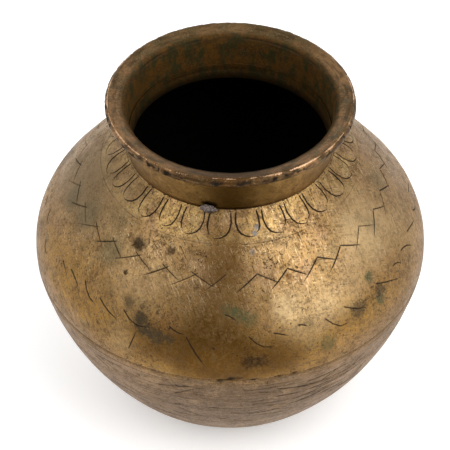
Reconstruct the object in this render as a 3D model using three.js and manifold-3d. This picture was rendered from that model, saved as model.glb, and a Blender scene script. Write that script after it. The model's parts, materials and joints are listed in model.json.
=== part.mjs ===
// A globular brass water pot: two raised sheet shells lapped and brazed at the belly, a short
// neck collar brazed over the upturned mouth of the shoulder, and a lip hemmed round a core wire.
// Millimetres. +Z is up, the axis of the pot is the Z axis and it rests on z = 0.
// The front of the pot faces -Y.

import * as THREE from 'three';
import { mergeVertices } from 'three/addons/utils/BufferGeometryUtils.js';
import Module from 'manifold-3d';

// ---- driving dimensions -------------------------------------------------------------------

const BELLY_RADIUS = 115;        // widest part of the body
const SHELL_WALL = 2;            // sheet of the two body shells
const JOINT_GAP = 0.35;          // clearance wherever two pieces meet

// The body outline is a chain of arcs met tangent to tangent. Angles are those of the outward
// normal above (+) or below (-) level, in degrees, and the chain starts at the widest point.
const CROWN_ARC = { radius: 47.4, to: 36 };        // tight turn over the belly
const SHOULDER_ARC = { radius: 211, to: 54 };      // long, nearly straight shoulder
const EQUATOR_ARC = { radius: 50, to: -13.5 };     // tight turn under the belly
const FLANK_ARC = { radius: 179, to: -43 };        // long tapering flank
const HEEL_ARC = { radius: 36, to: -90 };          // rolls into the flat base

const BELLY_SEAM_ANGLE = -5.5;   // where the two shells meet, just under the widest point
const BELLY_GROOVE = 1.8;        // degrees of the equator arc left open for the braze
const LAP_WALL = 1.6;            // tongue of the upper shell inside the lower one

const NECK_FOOT_RADIUS = 59.5;   // outside of the collar where it stands on the shoulder
const COLLAR_WALL = 1.8;         // sheet of the collar and its lip
const NECK_LEAN = 2.4;           // degrees the collar opens outward going up
const MOUTH_HEIGHT = 206.5;      // top of the straight collar, where the lip turns out
const UPSTAND_WALL = 2;          // mouth of the shoulder shell turned up inside the collar
const UPSTAND_TOP = 188;         // height it reaches

const LIP_RADIUS = 71.2;         // outermost edge of the lip
const LIP_RISE = 18;             // degrees the top of the lip climbs toward its edge
const LIP_BEAD = 3.1;            // outside radius of the rolled edge
const LIP_TUCK_HEIGHT = 200.3;   // where the sheet comes back to the collar under the lip
const LIP_WALL = 1.2;            // sheet of the lip, drawn thinner than the collar

const NECK_FILLET = 2.1;         // leg of the braze fillet round the collar's foot
const SOLDER_LUMP = {            // repair lump on the fillet, its bearing turned from the front
  bearing: -11.5, width: 10.5, height: 6.4, depth: 2.6,
};

const SPIN_STEPS = 60;           // facets round the axis
const LUMP_STEPS = 20;           // facets round the solder lump
const ARC_STEP = 8;              // most degrees of turn between two points of an ordinary arc
const FLAT_STEP = 5;             // the same for the long, slow arcs of shoulder and flank
const TIGHT_STEP = 12;           // for the heel
const BEAD_STEP = 30;            // for the rolled edge of the lip
const WIRE_STEP = 45;            // for the core wire

// ---- plane geometry -----------------------------------------------------------------------

const radians = (degrees) => degrees * Math.PI / 180;

// Points of a circular arc round a centre, from one direction to another.
function arc(centre, radius, from, to, step = ARC_STEP) {
  const count = Math.max(1, Math.ceil(Math.abs(to - from) / step));
  const points = [];
  for (let i = 0; i <= count; i += 1) {
    const angle = radians(from + (to - from) * i / count);
    points.push([centre[0] + radius * Math.cos(angle), centre[1] + radius * Math.sin(angle)]);
  }
  return points;
}

// The centre of the next arc of the chain, tangent to the last one at the given normal.
function nextCentre(centre, radius, angle, nextRadius) {
  const shift = radius - nextRadius;
  return [centre[0] + shift * Math.cos(radians(angle)), centre[1] + shift * Math.sin(radians(angle))];
}

// Height of the widest point, so that the heel arc ends exactly on z = 0.
const bellyHeight = EQUATOR_ARC.radius * Math.sin(radians(-EQUATOR_ARC.to))
  + FLANK_ARC.radius * (Math.sin(radians(-FLANK_ARC.to)) - Math.sin(radians(-EQUATOR_ARC.to)))
  + HEEL_ARC.radius * (1 - Math.sin(radians(-FLANK_ARC.to)));

// Centres of the five arcs.
const crownCentre = [BELLY_RADIUS - CROWN_ARC.radius, bellyHeight];
const shoulderCentre = nextCentre(crownCentre, CROWN_ARC.radius, CROWN_ARC.to, SHOULDER_ARC.radius);
const equatorCentre = [BELLY_RADIUS - EQUATOR_ARC.radius, bellyHeight];
const flankCentre = nextCentre(equatorCentre, EQUATOR_ARC.radius, EQUATOR_ARC.to, FLANK_ARC.radius);
const heelCentre = nextCentre(flankCentre, FLANK_ARC.radius, FLANK_ARC.to, HEEL_ARC.radius);

// A stretch of the equator arc, `depth` inside the outer surface.
function equatorArc(depth, from, to) {
  return arc(equatorCentre, EQUATOR_ARC.radius - depth, from, to);
}

// The outline below the belly, from a start angle on the equator arc down to the flat base.
function lowerOutline(depth, from) {
  return [
    ...equatorArc(depth, from, EQUATOR_ARC.to),
    ...arc(flankCentre, FLANK_ARC.radius - depth, EQUATOR_ARC.to, FLANK_ARC.to, FLAT_STEP).slice(1),
    ...arc(heelCentre, HEEL_ARC.radius - depth, FLANK_ARC.to, HEEL_ARC.to, TIGHT_STEP).slice(1),
  ];
}

// The outline from the widest point up the shoulder until it meets `endRadius`.
function upperOutline(depth, endRadius) {
  const shoulderRadius = SHOULDER_ARC.radius - depth;
  const end = Math.acos((endRadius - shoulderCentre[0]) / shoulderRadius) * 180 / Math.PI;
  return [
    ...arc(crownCentre, CROWN_ARC.radius - depth, 0, CROWN_ARC.to),
    ...arc(shoulderCentre, shoulderRadius, CROWN_ARC.to, end, FLAT_STEP).slice(1),
  ];
}

// Height of the outer shoulder surface at a radius.
function shoulderHeight(radius) {
  const across = radius - shoulderCentre[0];
  return shoulderCentre[1] + Math.sqrt(SHOULDER_ARC.radius ** 2 - across ** 2);
}

// Outside radius of the collar at a height.
function collarRadius(height) {
  const foot = shoulderHeight(NECK_FOOT_RADIUS);
  return NECK_FOOT_RADIUS + (height - foot) * Math.tan(radians(NECK_LEAN));
}

// ---- solids -------------------------------------------------------------------------------

// Twice the signed area of a section; its sign tells which way round the points run.
function turning(section) {
  return section.reduce((sum, [r, z], i) => {
    const [nextR, nextZ] = section[(i + 1) % section.length];
    return sum + r * nextZ - nextR * z;
  }, 0);
}

// Spins a closed section about the pot's axis. A section touching the axis stays open there.
function spun(section) {
  const ordered = turning(section) > 0 ? section : [...section].reverse();
  const touchesAxis = ordered.some(([r]) => r === 0);
  const start = touchesAxis ? ordered.findIndex(([r], i) => r === 0
    && ordered[(i + 1) % ordered.length][0] > 0) : 0;
  const loop = [...ordered.slice(start), ...ordered.slice(0, start)];
  if (!touchesAxis) loop.push(loop[0]);
  const profile = loop.map(([r, z]) => new THREE.Vector2(r, z));
  return new THREE.LatheGeometry(profile, SPIN_STEPS).rotateX(Math.PI / 2);
}

function piece(name, geometry, colour, roughness) {
  const material = new THREE.MeshStandardMaterial({ color: colour, roughness, metalness: 1 });
  const mesh = new THREE.Mesh(geometry, material);
  mesh.name = name;
  return mesh;
}

// The raised lower half of the body, from the flat base to its plain upper edge.
function lowerBowl() {
  const edge = BELLY_SEAM_ANGLE - BELLY_GROOVE / 2;
  const outside = lowerOutline(0, edge);
  const inside = lowerOutline(SHELL_WALL, edge);
  return spun([...outside, [0, 0], [0, SHELL_WALL], ...inside.reverse()]);
}

// The upper half: a tongue lapped inside the lower bowl, the shoulder, and the upturned mouth.
function shoulderShell() {
  const edge = BELLY_SEAM_ANGLE + BELLY_GROOVE / 2;
  const tongueOutside = SHELL_WALL + JOINT_GAP;
  const tongueInside = tongueOutside + LAP_WALL;
  const mouthOutside = NECK_FOOT_RADIUS - COLLAR_WALL - JOINT_GAP;
  const mouthInside = mouthOutside - UPSTAND_WALL;
  return spun([
    ...equatorArc(tongueOutside, EQUATOR_ARC.to, edge),
    ...equatorArc(0, edge, 0),
    ...upperOutline(0, mouthOutside).slice(1),
    [mouthOutside, UPSTAND_TOP],
    [mouthInside, UPSTAND_TOP],
    ...upperOutline(SHELL_WALL, mouthInside).reverse(),
    ...equatorArc(tongueInside, edge, EQUATOR_ARC.to),
  ]);
}

// Braze run into the groove between the two shells, flush with the belly.
function bellyBrazeSeam() {
  const clearance = JOINT_GAP / EQUATOR_ARC.radius * 180 / Math.PI;
  const low = BELLY_SEAM_ANGLE - BELLY_GROOVE / 2 + clearance;
  const high = BELLY_SEAM_ANGLE + BELLY_GROOVE / 2 - clearance;
  return spun([...equatorArc(0, low, high), ...equatorArc(SHELL_WALL, high, low)]);
}

// The rolled edge of the lip: a bead whose top carries on the rising line of the lip.
const mouthRadius = collarRadius(MOUTH_HEIGHT) - COLLAR_WALL;
const lipSlope = radians(LIP_RISE);
const beadRadius = LIP_RADIUS - LIP_BEAD;

// Height of the lip's top sheet at a radius, `depth` below its upper face.
function lipTop(radius, depth) {
  return MOUTH_HEIGHT + (radius - mouthRadius) * Math.tan(lipSlope) - depth / Math.cos(lipSlope);
}

const beadCentre = [beadRadius, lipTop(beadRadius, LIP_BEAD)];

// The collar foot follows the shoulder it stands on.
const footClearance = JOINT_GAP / Math.cos(radians(90 - SHOULDER_ARC.to));
const footHeight = (radius) => shoulderHeight(radius) + footClearance;

// The collar: plain wall, lip turned out, rolled over at the edge and tucked back underneath.
function neckCollar() {
  const tuckRadius = collarRadius(LIP_TUCK_HEIGHT) + JOINT_GAP;
  const run = [beadCentre[0] - tuckRadius, beadCentre[1] - LIP_TUCK_HEIGHT];
  const underSlope = Math.atan2(run[1], run[0]) - Math.asin(LIP_BEAD / Math.hypot(...run));
  const under = underSlope * 180 / Math.PI - 90;
  const crown = 90 + LIP_RISE;
  const footInside = NECK_FOOT_RADIUS - COLLAR_WALL;
  const innerCorner = collarRadius(MOUTH_HEIGHT);
  return spun([
    [NECK_FOOT_RADIUS, footHeight(NECK_FOOT_RADIUS)],
    [innerCorner, lipTop(innerCorner, LIP_WALL)],
    ...arc(beadCentre, LIP_BEAD - LIP_WALL, crown, under, BEAD_STEP),
    [tuckRadius, LIP_TUCK_HEIGHT + LIP_WALL / Math.cos(underSlope)],
    [tuckRadius, LIP_TUCK_HEIGHT],
    ...arc(beadCentre, LIP_BEAD, under, crown, BEAD_STEP),
    [mouthRadius, MOUTH_HEIGHT],
    [footInside, footHeight(footInside)],
  ]);
}

// The round wire hidden inside the rolled edge.
function lipCoreWire() {
  const radius = LIP_BEAD - LIP_WALL - JOINT_GAP;
  return spun(arc(beadCentre, radius, 0, 360, WIRE_STEP).slice(1));
}

// Corners of the braze fillet in the angle between collar and shoulder.
function filletSection() {
  const root = NECK_FOOT_RADIUS + JOINT_GAP;
  const toe = root + NECK_FILLET;
  const corner = [root, footHeight(root)];
  const top = [collarRadius(corner[1] + NECK_FILLET) + JOINT_GAP, corner[1] + NECK_FILLET];
  const face = [root + NECK_FILLET / 3, corner[1] + NECK_FILLET / 3];
  return [corner, [toe, footHeight(toe)], face, top];
}

// Braze fillet all round the foot of the collar.
function neckBrazeSeam() {
  return spun(filletSection());
}

// A lump of soft solder over the fillet, a later repair. It is an ellipsoid pressed into the
// corner, cut back to clear the shoulder, the fillet and the collar.
async function neckSolderLump() {
  const kernel = await Module();
  kernel.setup();
  const solid = (geometry) => {
    const bare = geometry.clone();
    bare.deleteAttribute('normal');
    bare.deleteAttribute('uv');
    const merged = mergeVertices(bare, 1e-4);
    return new kernel.Manifold(new kernel.Mesh({
      numProp: 3,
      vertProperties: Float32Array.from(merged.attributes.position.array),
      triVerts: Uint32Array.from(merged.index.array),
    }));
  };
  const [corner, toe, face, top] = filletSection();
  const { bearing, width, height, depth } = SOLDER_LUMP;
  const lump = new THREE.SphereGeometry(1, LUMP_STEPS, LUMP_STEPS / 2);
  lump.scale(width / 2, depth, height / 2);
  lump.translate(0, -(corner[0] + depth / 3), corner[1] + height / 5);
  lump.rotateZ(radians(bearing));
  const skirt = NECK_FOOT_RADIUS + width;
  const above = corner[1] + height;
  const keepOut = spun([
    [0, footHeight(skirt)],
    [skirt, footHeight(skirt)],
    [toe[0] + JOINT_GAP, footHeight(toe[0] + JOINT_GAP)],
    [face[0] + JOINT_GAP, face[1] + JOINT_GAP],
    [top[0] + JOINT_GAP / 2, top[1] + JOINT_GAP],
    [collarRadius(above) + JOINT_GAP, above],
    [0, above],
  ]);
  const cut = solid(lump).subtract(solid(keepOut)).getMesh();
  const geometry = new THREE.BufferGeometry();
  geometry.setAttribute('position', new THREE.BufferAttribute(cut.vertProperties, 3));
  geometry.setIndex(new THREE.BufferAttribute(cut.triVerts, 1));
  geometry.computeVertexNormals();
  return geometry;
}

// ---- the pot ------------------------------------------------------------------------------

const BRASS = 0xa8853f;
const WORN_BRASS = 0x9b8468;
const DARK_BRASS = 0x6b4f2c;
const BRAZE = 0xc29a52;
const SOLDER = 0x8b8a90;

const pot = new THREE.Group();
pot.name = 'brass_water_pot';
pot.add(
  piece('lower_bowl', lowerBowl(), WORN_BRASS, 0.5),
  piece('shoulder_shell', shoulderShell(), BRASS, 0.4),
  piece('neck_collar', neckCollar(), DARK_BRASS, 0.45),
  piece('lip_core_wire', lipCoreWire(), BRASS, 0.5),
  piece('belly_braze_seam', bellyBrazeSeam(), BRAZE, 0.5),
  piece('neck_braze_seam', neckBrazeSeam(), BRAZE, 0.5),
  piece('neck_solder_lump', await neckSolderLump(), SOLDER, 0.6),
);

export default pot;
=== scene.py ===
# %% [markdown]
# # A raised brass water pot
# The pot is two bowls of hammered sheet brass brazed together at the belly, with a short collar
# and a thick rolled lip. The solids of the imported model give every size. This lesson makes the
# fine surface round them: true curves instead of facets, cut ornament, dents, braze and patina.

# %% Load the frame
import json
import math
import random

import bmesh
import bpy
import numpy as np
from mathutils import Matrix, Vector, noise

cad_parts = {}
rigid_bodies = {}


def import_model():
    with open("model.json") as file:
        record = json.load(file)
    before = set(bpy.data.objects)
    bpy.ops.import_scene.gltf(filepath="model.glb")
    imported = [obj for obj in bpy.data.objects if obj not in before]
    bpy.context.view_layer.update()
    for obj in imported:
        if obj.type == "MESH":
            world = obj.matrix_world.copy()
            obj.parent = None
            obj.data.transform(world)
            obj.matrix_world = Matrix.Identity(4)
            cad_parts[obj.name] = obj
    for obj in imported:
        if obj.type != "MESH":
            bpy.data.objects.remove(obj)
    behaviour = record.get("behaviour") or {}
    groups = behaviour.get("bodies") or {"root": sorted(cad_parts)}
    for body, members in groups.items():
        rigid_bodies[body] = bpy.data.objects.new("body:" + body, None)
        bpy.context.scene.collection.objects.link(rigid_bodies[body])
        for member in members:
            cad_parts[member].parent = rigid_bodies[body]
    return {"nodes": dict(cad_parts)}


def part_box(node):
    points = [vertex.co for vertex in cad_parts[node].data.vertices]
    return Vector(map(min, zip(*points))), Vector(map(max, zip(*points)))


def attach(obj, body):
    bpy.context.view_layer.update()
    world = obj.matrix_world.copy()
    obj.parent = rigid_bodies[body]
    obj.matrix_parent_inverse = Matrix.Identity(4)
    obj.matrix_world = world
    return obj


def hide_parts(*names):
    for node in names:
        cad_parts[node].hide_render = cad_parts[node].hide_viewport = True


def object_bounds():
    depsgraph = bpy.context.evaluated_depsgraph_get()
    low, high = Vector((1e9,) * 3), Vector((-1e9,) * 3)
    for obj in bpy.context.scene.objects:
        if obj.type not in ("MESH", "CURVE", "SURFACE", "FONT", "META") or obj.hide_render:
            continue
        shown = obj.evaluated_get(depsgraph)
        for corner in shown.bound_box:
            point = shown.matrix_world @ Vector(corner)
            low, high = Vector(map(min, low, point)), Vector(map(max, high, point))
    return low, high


for leftover in list(bpy.data.objects):
    bpy.data.objects.remove(leftover)
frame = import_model()
cad_low, cad_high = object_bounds()
MM = 0.001
HEIGHT = cad_high.z
BELLY = cad_high.x
print(f"pot {HEIGHT / MM:.0f} mm tall, {2 * BELLY / MM:.0f} mm across")

# %% [markdown]
# ## Camera
# A pot is best shown from above its lip, so that mouth, ornament and belly all read. A long lens
# from a metre and a half keeps the two sides nearly parallel. The camera comes first because the
# rest is judged through it. It stands in front, on the -Y side, and only tips downward.

# %% Camera
CAMERA_BACK = 1.010
CAMERA_UP = 1.046
CAMERA_SIDE = -0.003
CAMERA_TIP = 42.77
SENSOR = 36.0
LENS = 186.4


def placed(name, data):
    """A new object, put into the scene."""
    made = bpy.data.objects.new(name, data)
    bpy.context.scene.collection.objects.link(made)
    return made


camera_data = bpy.data.cameras.new("camera")
camera_data.sensor_width = SENSOR
camera_data.lens = LENS
camera = placed("camera", camera_data)
camera.location = (CAMERA_SIDE, -CAMERA_BACK, CAMERA_UP)
camera.rotation_euler = (math.radians(90 - CAMERA_TIP), 0, 0)
bpy.context.scene.camera = camera
print("camera", tuple(round(c, 3) for c in camera.location))

# %% [markdown]
# ## Reading a section
# Every piece but the solder lump is a body of revolution, so its whole shape is one closed outline
# of radius and height. The outline is found where the solid crosses the half plane y = 0, x > 0,
# by following the edges that lie in it. An outline that touches the axis is open there.


# %% The outline of a turned piece
def section_of(node):
    mesh = frame["nodes"][node].data
    grain = 0.01 * MM
    on_cut = {}
    for vertex in mesh.vertices:
        if abs(vertex.co.y) < 2 * grain and vertex.co.x > -grain:
            on_cut[vertex.index] = (round(vertex.co.x / grain), round(vertex.co.z / grain))
    links = {}
    for edge in mesh.edges:
        a, b = (on_cut.get(i) for i in edge.vertices)
        if a and b and a != b:
            links.setdefault(a, set()).add(b)
            links.setdefault(b, set()).add(a)
    ends = sorted((p for p in links if len(links[p]) == 1), key=lambda p: p[1])
    start = ends[0] if ends else min(links)
    outline = [start]
    while True:
        ahead = [p for p in sorted(links[outline[-1]]) if p not in outline]
        if not ahead:
            break
        outline.append(ahead[0])
    points = np.array(outline, float) * grain
    nxt = np.roll(points, -1, axis=0)
    area = np.sum(points[:, 0] * nxt[:, 1] - nxt[:, 0] * points[:, 1])
    if area < 0:
        points = points[::-1]
    return points, not ends


for name in ("lower_bowl", "shoulder_shell", "neck_collar"):
    outline, closed = section_of(name)
    print(name, len(outline), "corners,", "closed" if closed else "open at the axis")

# %% [markdown]
# ## From corners to curves
# The solids are faceted, so a round stretch arrives as a chain of short straight lines. A curve
# through their ends gives the roundness back. Where the outline turns sharply it has a real edge,
# which a file or years of scouring has softened, so each edge becomes a small round of its own.

# %% Curves through the outline
EDGE_TURN = math.radians(40)
EDGE_ROUND = 0.2 * MM


def turn_at(before, here, after):
    a = math.atan2(*(here - before)[::-1])
    b = math.atan2(*(after - here)[::-1])
    return abs((b - a + math.pi) % (2 * math.pi) - math.pi)


def through(points, share):
    """The point a share of the way from points[1] to points[2], on a curve through all four."""
    knots = [0.0]
    for a, b in zip(points, points[1:]):
        knots.append(knots[-1] + max(math.sqrt(np.linalg.norm(b - a)), 1e-6))
    t = knots[1] + share * (knots[2] - knots[1])
    level = list(points)
    for width in (1, 2, 3):
        rows = []
        for i in range(len(level) - 1):
            inner = width == 3
            left, right = knots[1 if inner else i], knots[2 if inner else i + width]
            share_here = (t - left) / (right - left)
            rows.append(level[i] * (1 - share_here) + level[i + 1] * share_here)
        level = rows
    return level[0]


def with_anchors(run):
    """A long straight line beside short chords gets a point close to each such end."""
    out = [run[0]]
    for i in range(len(run) - 1):
        a, b = run[i], run[i + 1]
        length = np.linalg.norm(b - a)
        before = np.linalg.norm(a - run[i - 1]) if i else length
        after = np.linalg.norm(run[i + 2] - b) if i + 2 < len(run) else length
        if length > 2.5 * before:
            out.append(a + (b - a) * before / length)
        if length > 2.5 * after:
            out.append(b - (b - a) * after / length)
        out.append(b)
    return out


def smooth_run(run, step):
    """Points about `step` apart along a curve through the run, without its last point."""
    run = with_anchors(run)
    out = []
    for i in range(len(run) - 1):
        before = run[i - 1] if i else 2 * run[i] - run[i + 1]
        after = run[i + 2] if i + 2 < len(run) else 2 * run[i + 1] - run[i]
        count = max(1, round(np.linalg.norm(run[i + 1] - run[i]) / step))
        quad = [before, run[i], run[i + 1], after]
        out += [through(quad, k / count) for k in range(count)]
    return out


def resampled(rows, closed, fine):
    """Each step between two rows split into `fine` parts, on a curve through them all."""
    path = []
    last = len(rows) - 1
    for i in range(last):
        before = rows[i - 1] if i else (rows[-2] if closed else 2 * rows[0] - rows[1])
        after = rows[i + 2] if i + 2 <= last else (rows[1] if closed else 2 * rows[-1] - rows[-2])
        path += [through([before, rows[i], rows[i + 1], after], k / fine) for k in range(fine)]
    path.append(rows[-1])
    return np.array(path)


def curved(outline, closed, step, fine):
    """The outline as smooth rows `step` apart, each split into `fine` parts."""
    count = len(outline)
    spots = range(count) if closed else range(1, count - 1)
    edges = [i for i in spots
             if turn_at(outline[i - 1], outline[i], outline[(i + 1) % count]) > EDGE_TURN]
    if closed:
        outline = np.roll(outline, -edges[0], axis=0) if edges else outline
        edges = [i - edges[0] for i in edges] if edges else []
        runs = list(zip(edges, edges[1:] + [count])) if edges else [(0, count)]
        whole = list(outline) + [outline[0]]
    else:
        stops = [0] + edges + [count - 1]
        runs = list(zip(stops, stops[1:]))
        whole = list(outline)
    rows = []
    for start, stop in runs:
        run = [np.array(p) for p in whole[start:stop + 1]]
        for end, inner in ((0, 1), (-1, -2)):
            is_edge = closed and edges or (start if end == 0 else count - 1 - stop) > 0
            if is_edge:
                side = run[inner] - run[end]
                length = np.linalg.norm(side)
                run[end] = run[end] + side * min(EDGE_ROUND, length / 3) / length
        rows += smooth_run(run, step) + [run[-1]]
    if not closed:
        rows[0], rows[-1] = np.array(whole[0]), np.array(whole[-1])
    if closed:
        rows.append(rows[0])
    rows = np.array(rows)
    keep = np.append(True, np.linalg.norm(np.diff(rows, axis=0), axis=1) > 1e-7)
    return resampled(rows[keep], closed, fine)


outline, closed = section_of("neck_collar")
path = curved(outline, closed, 2 * MM, 1)
print("collar outline:", len(outline), "corners became", len(path), "points")

# %% [markdown]
# ## A net that is finer where the graver went
# Cut lines are half a millimetre wide on a pot a metre round, so one even mesh would need
# millions of faces. The surface is laid out instead as a net of squares, turned angle one way and
# the outline the other. A square near a cut splits into four, again and again. A coarse square
# simply takes its small neighbours' corners into its own edge, so nothing gapes.

# %% The net
def split_net(columns, rows, levels, near):
    """Squares (u, t, size) on the finest grid; `near(u, t, size)` says which to split."""
    size = 2 ** levels
    grid_u, grid_t = np.meshgrid(np.arange(columns) * size, np.arange(rows) * size)
    squares = np.stack([grid_u.ravel(), grid_t.ravel(), np.full(grid_u.size, size)], 1)
    done = []
    for _ in range(levels):
        cut = near(squares[:, 0], squares[:, 1], squares[:, 2])
        done.append(squares[~cut])
        parent = squares[cut]
        half = parent[:, 2] // 2
        children = [np.stack([parent[:, 0] + du * half, parent[:, 1] + dt * half, half], 1)
                    for du in (0, 1) for dt in (0, 1)]
        squares = np.concatenate(children)
    done.append(squares)
    return np.concatenate(done)


def stitch(squares, round_u, top_t, closed, at_axis):
    """Corner places and faces of the squares, with shared corners shared."""
    def place(u, t):
        t = t % top_t if closed else t
        return (0 if t in at_axis else u % round_u, t)

    smallest = int(squares[:, 2].min())
    index = {}
    for u, t, size in squares.tolist():
        for du, dt in ((0, 0), (size, 0), (size, size), (0, size)):
            index.setdefault(place(u + du, t + dt), len(index))
    faces = []
    for u, t, size in squares.tolist():
        ring = []
        steps = range(0, size, smallest)
        walk = ([(u + k, t) for k in steps] + [(u + size, t + k) for k in steps]
                + [(u + size - k, t + size) for k in steps] + [(u, t + size - k) for k in steps])
        for spot in walk:
            here = index.get(place(*spot))
            if here is not None and here not in ring[-1:]:
                ring.append(here)
        if ring[0] == ring[-1]:
            ring.pop()
        if len(ring) > 2:
            faces.append(ring)
    return np.array(list(index)), faces


# %% [markdown]
# ## Turned pieces with hand-made surfaces
# `turned` spins an outline into a mesh. A `work` function then moves the skin along its own
# normal, the way hammer and graver do, and hands back named marks, one number a point, that the
# finishes read later: where a line is cut, where hands have rubbed and a highlight is painted,
# which faces look inward to take soot and painted shade.

# %% Spin an outline into a mesh
class Skin:
    """Places on a turned surface, as arrays with one entry a point."""

    def __init__(self, bearing, radius, height, out_r, out_z, along):
        self.bearing, self.radius, self.height = bearing, radius, height
        self.out_r, self.out_z, self.along = out_r, out_z, along

    def points(self, lift=0.0):
        r = self.radius + self.out_r * lift
        z = np.maximum(self.height + self.out_z * lift, 0)
        return np.stack([r * np.sin(self.bearing), -r * np.cos(self.bearing), z], 1)


def directions(path, closed):
    """Which way the outline runs at each of its points, as vectors of length 1."""
    if closed:
        ring = path[:-1]
        step = np.roll(ring, -1, 0) - np.roll(ring, 1, 0)
        step = np.append(step, step[:1], 0)
    else:
        step = np.roll(path, -1, 0) - np.roll(path, 1, 0)
        step[0], step[-1] = path[1] - path[0], path[-1] - path[-2]
    return step / np.linalg.norm(step, axis=1)[:, None]


def skin_at(path, closed, round_u, u, t):
    """The skin at column u of round_u and at point t of the outline."""
    step = directions(path, closed)
    along = np.append(0, np.cumsum(np.linalg.norm(np.diff(path, axis=0), axis=1)))
    bearing = (u / round_u * 2 * np.pi + np.pi) % (2 * np.pi) - np.pi
    return Skin(bearing, path[t, 0], path[t, 1], step[t, 1], -step[t, 0], along[t])


def turned(name, node, step, columns, levels=0, near=None, work=None, shape=None):
    outline, closed = section_of(node)
    outline = shape(outline) if shape else outline
    fine = 2 ** levels
    path = curved(outline, closed, step, fine)
    rows = (len(path) - 1) // fine
    round_u = columns * fine

    def wanted(u, t, size):
        middle = np.minimum(t + size // 2, len(path) - 1)
        return near(skin_at(path, closed, round_u, u + size / 2, middle), size / fine * step)

    squares = split_net(columns, rows, levels, wanted)
    last = len(path) - 1
    at_axis = set() if closed else {t for t in (0, last) if path[t, 0] < 0.01 * MM}
    places, faces = stitch(squares, round_u, last, closed, at_axis)
    skin = skin_at(path, closed, round_u, places[:, 0], places[:, 1])
    lift, marks = work(skin) if work else (0.0, {})
    mesh = bpy.data.meshes.new(name)
    mesh.from_pydata(skin.points(lift).tolist(), [], faces)
    mesh.polygons.foreach_set("use_smooth", [True] * len(mesh.polygons))
    for mark, values in marks.items():
        layer = mesh.attributes.new(mark, "FLOAT", "POINT")
        layer.data.foreach_set("value", np.clip(values, 0, 1).astype(np.float32))
    piece = placed(name, mesh)
    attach(piece, "root")
    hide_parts(node)
    triangles = sum(len(f) - 2 for f in faces)
    print(f"{name}: {len(places)} points, {triangles} triangles")
    return piece


# %% [markdown]
# ## Hammering
# Raising leaves a skin that is never quite round. Slow noise makes the soft hollows that bend a
# reflection, and a faster, weaker one the planishing marks over them. The amounts are small: a
# tenth of a millimetre already shows in a highlight. The skin only ever moves inward, so the pot
# keeps its full size where it is proudest.

# %% Hammered skin
HOLLOW = 0.45 * MM
HOLLOW_SIZE = 48 * MM
PLANISH = 0.07 * MM
PLANISH_SIZE = 9 * MM


def rolling(points, size, octaves=2, seed=0.0):
    """Smooth noise from 0 to 1 whose hollows are about `size` across."""
    shift = Vector((seed, 1.7 * seed, -seed))
    values = [noise.fractal(Vector(p) / size + shift, 1.0, 2.0, octaves) for p in points]
    return np.clip(0.5 + 0.5 * np.array(values), 0, 1)


def hammered(skin):
    """How far hammering has moved the skin: always inward, so never more than 0."""
    points = skin.points()
    slow = rolling(points, HOLLOW_SIZE, 2, 3.1)
    quick = rolling(points, PLANISH_SIZE, 2, 8.4)
    return -HOLLOW * slow - PLANISH * quick


# %% [markdown]
# ## Cut lines
# The ornament was cut freehand with a graver. A stroke starts deep and wide and lifts to nothing.
# Each is kept as a few points of bearing, in degrees round from the front, and radius in
# millimetres from the axis, as it would be laid out with dividers from above.

# %% Strokes
THINNEST_HALF = 0.26 * MM
CUT_REACH = 1.5 * MM
SPLIT_BY_SIZE = 0.62
SPLIT_BY_WIDTH = 0.35


class Stroke:
    """One cut: width, depth and `finest`, the smallest square it needs, are in millimetres."""

    def __init__(self, points, width=0.8, depth=0.35, lift_off=0.6, fade=1.0, finest=0.3):
        self.bearing = np.radians([p[0] for p in points])
        self.radius = np.array([p[1] for p in points]) * MM
        self.width, self.depth = width * MM, depth * MM
        self.lift_off, self.fade, self.finest = lift_off, fade, finest * MM


def wrapped(angle):
    """An angle brought between half a turn left and half a turn right."""
    return (angle + np.pi) % (2 * np.pi) - np.pi


def nearest_on(xs, ys, px, py):
    """How far places are from a broken line, and their share of the way along it."""
    best = np.full(len(px), 1.0)
    share = np.zeros(len(px))
    lengths = np.hypot(np.diff(xs), np.diff(ys))
    total, walked = lengths.sum(), 0.0
    for i, length in enumerate(lengths):
        ax, ay = px - xs[i], py - ys[i]
        bx, by = xs[i + 1] - xs[i], ys[i + 1] - ys[i]
        k = np.clip((ax * bx + ay * by) / max(length ** 2, 1e-12), 0, 1)
        away = np.hypot(ax - k * bx, ay - k * by)
        nearer = away < best
        best = np.where(nearer, away, best)
        share = np.where(nearer, (walked + k * length) / total, share)
        walked += length
    return best, share


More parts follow.
